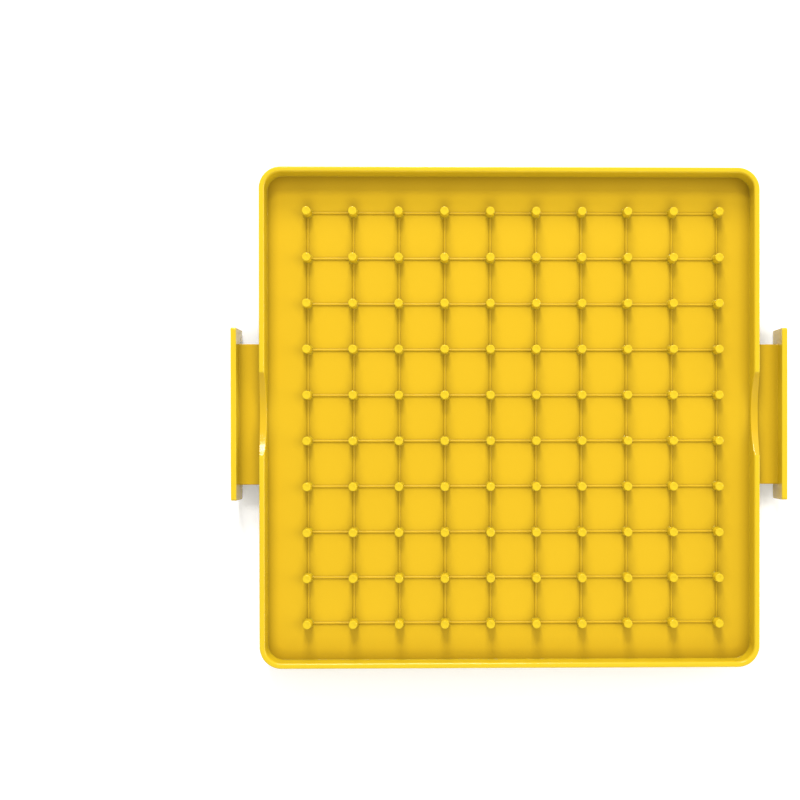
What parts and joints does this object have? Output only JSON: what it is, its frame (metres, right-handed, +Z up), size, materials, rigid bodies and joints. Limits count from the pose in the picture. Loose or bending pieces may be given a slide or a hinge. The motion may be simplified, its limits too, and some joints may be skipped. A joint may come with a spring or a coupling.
{
  "type": "peg board",
  "caption": "Square tray-shaped peg board with a raised rim, short round pegs on a low raised grid, and a T-shaped grip on each side.",
  "frame": {"origin": "on the surface the board rests on, under the middle of the board", "axes": "+Z up out of the pegs' tips with the board lying flat, +X from the left grip to the right grip, +Y from the last row of pegs to the first"},
  "size_m": [0.2426, 0.2196, 0.02],
  "materials": {
    "yellow_plastic": "satin moulded"
  },
  "bodies": {
    "root": {"front_frame": "yellow_plastic", "rear_frame": "yellow_plastic", "peg_plate": "yellow_plastic", "peg_row_1": "yellow_plastic", "peg_row_2": "yellow_plastic", "peg_row_3": "yellow_plastic", "peg_row_4": "yellow_plastic", "peg_row_5": "yellow_plastic", "peg_row_6": "yellow_plastic", "peg_row_7": "yellow_plastic", "peg_row_8": "yellow_plastic", "peg_row_9": "yellow_plastic", "peg_row_10": "yellow_plastic", "left_web": "yellow_plastic", "right_web": "yellow_plastic", "left_grip": "yellow_plastic", "right_grip": "yellow_plastic"}
  },
  "joints": []
}
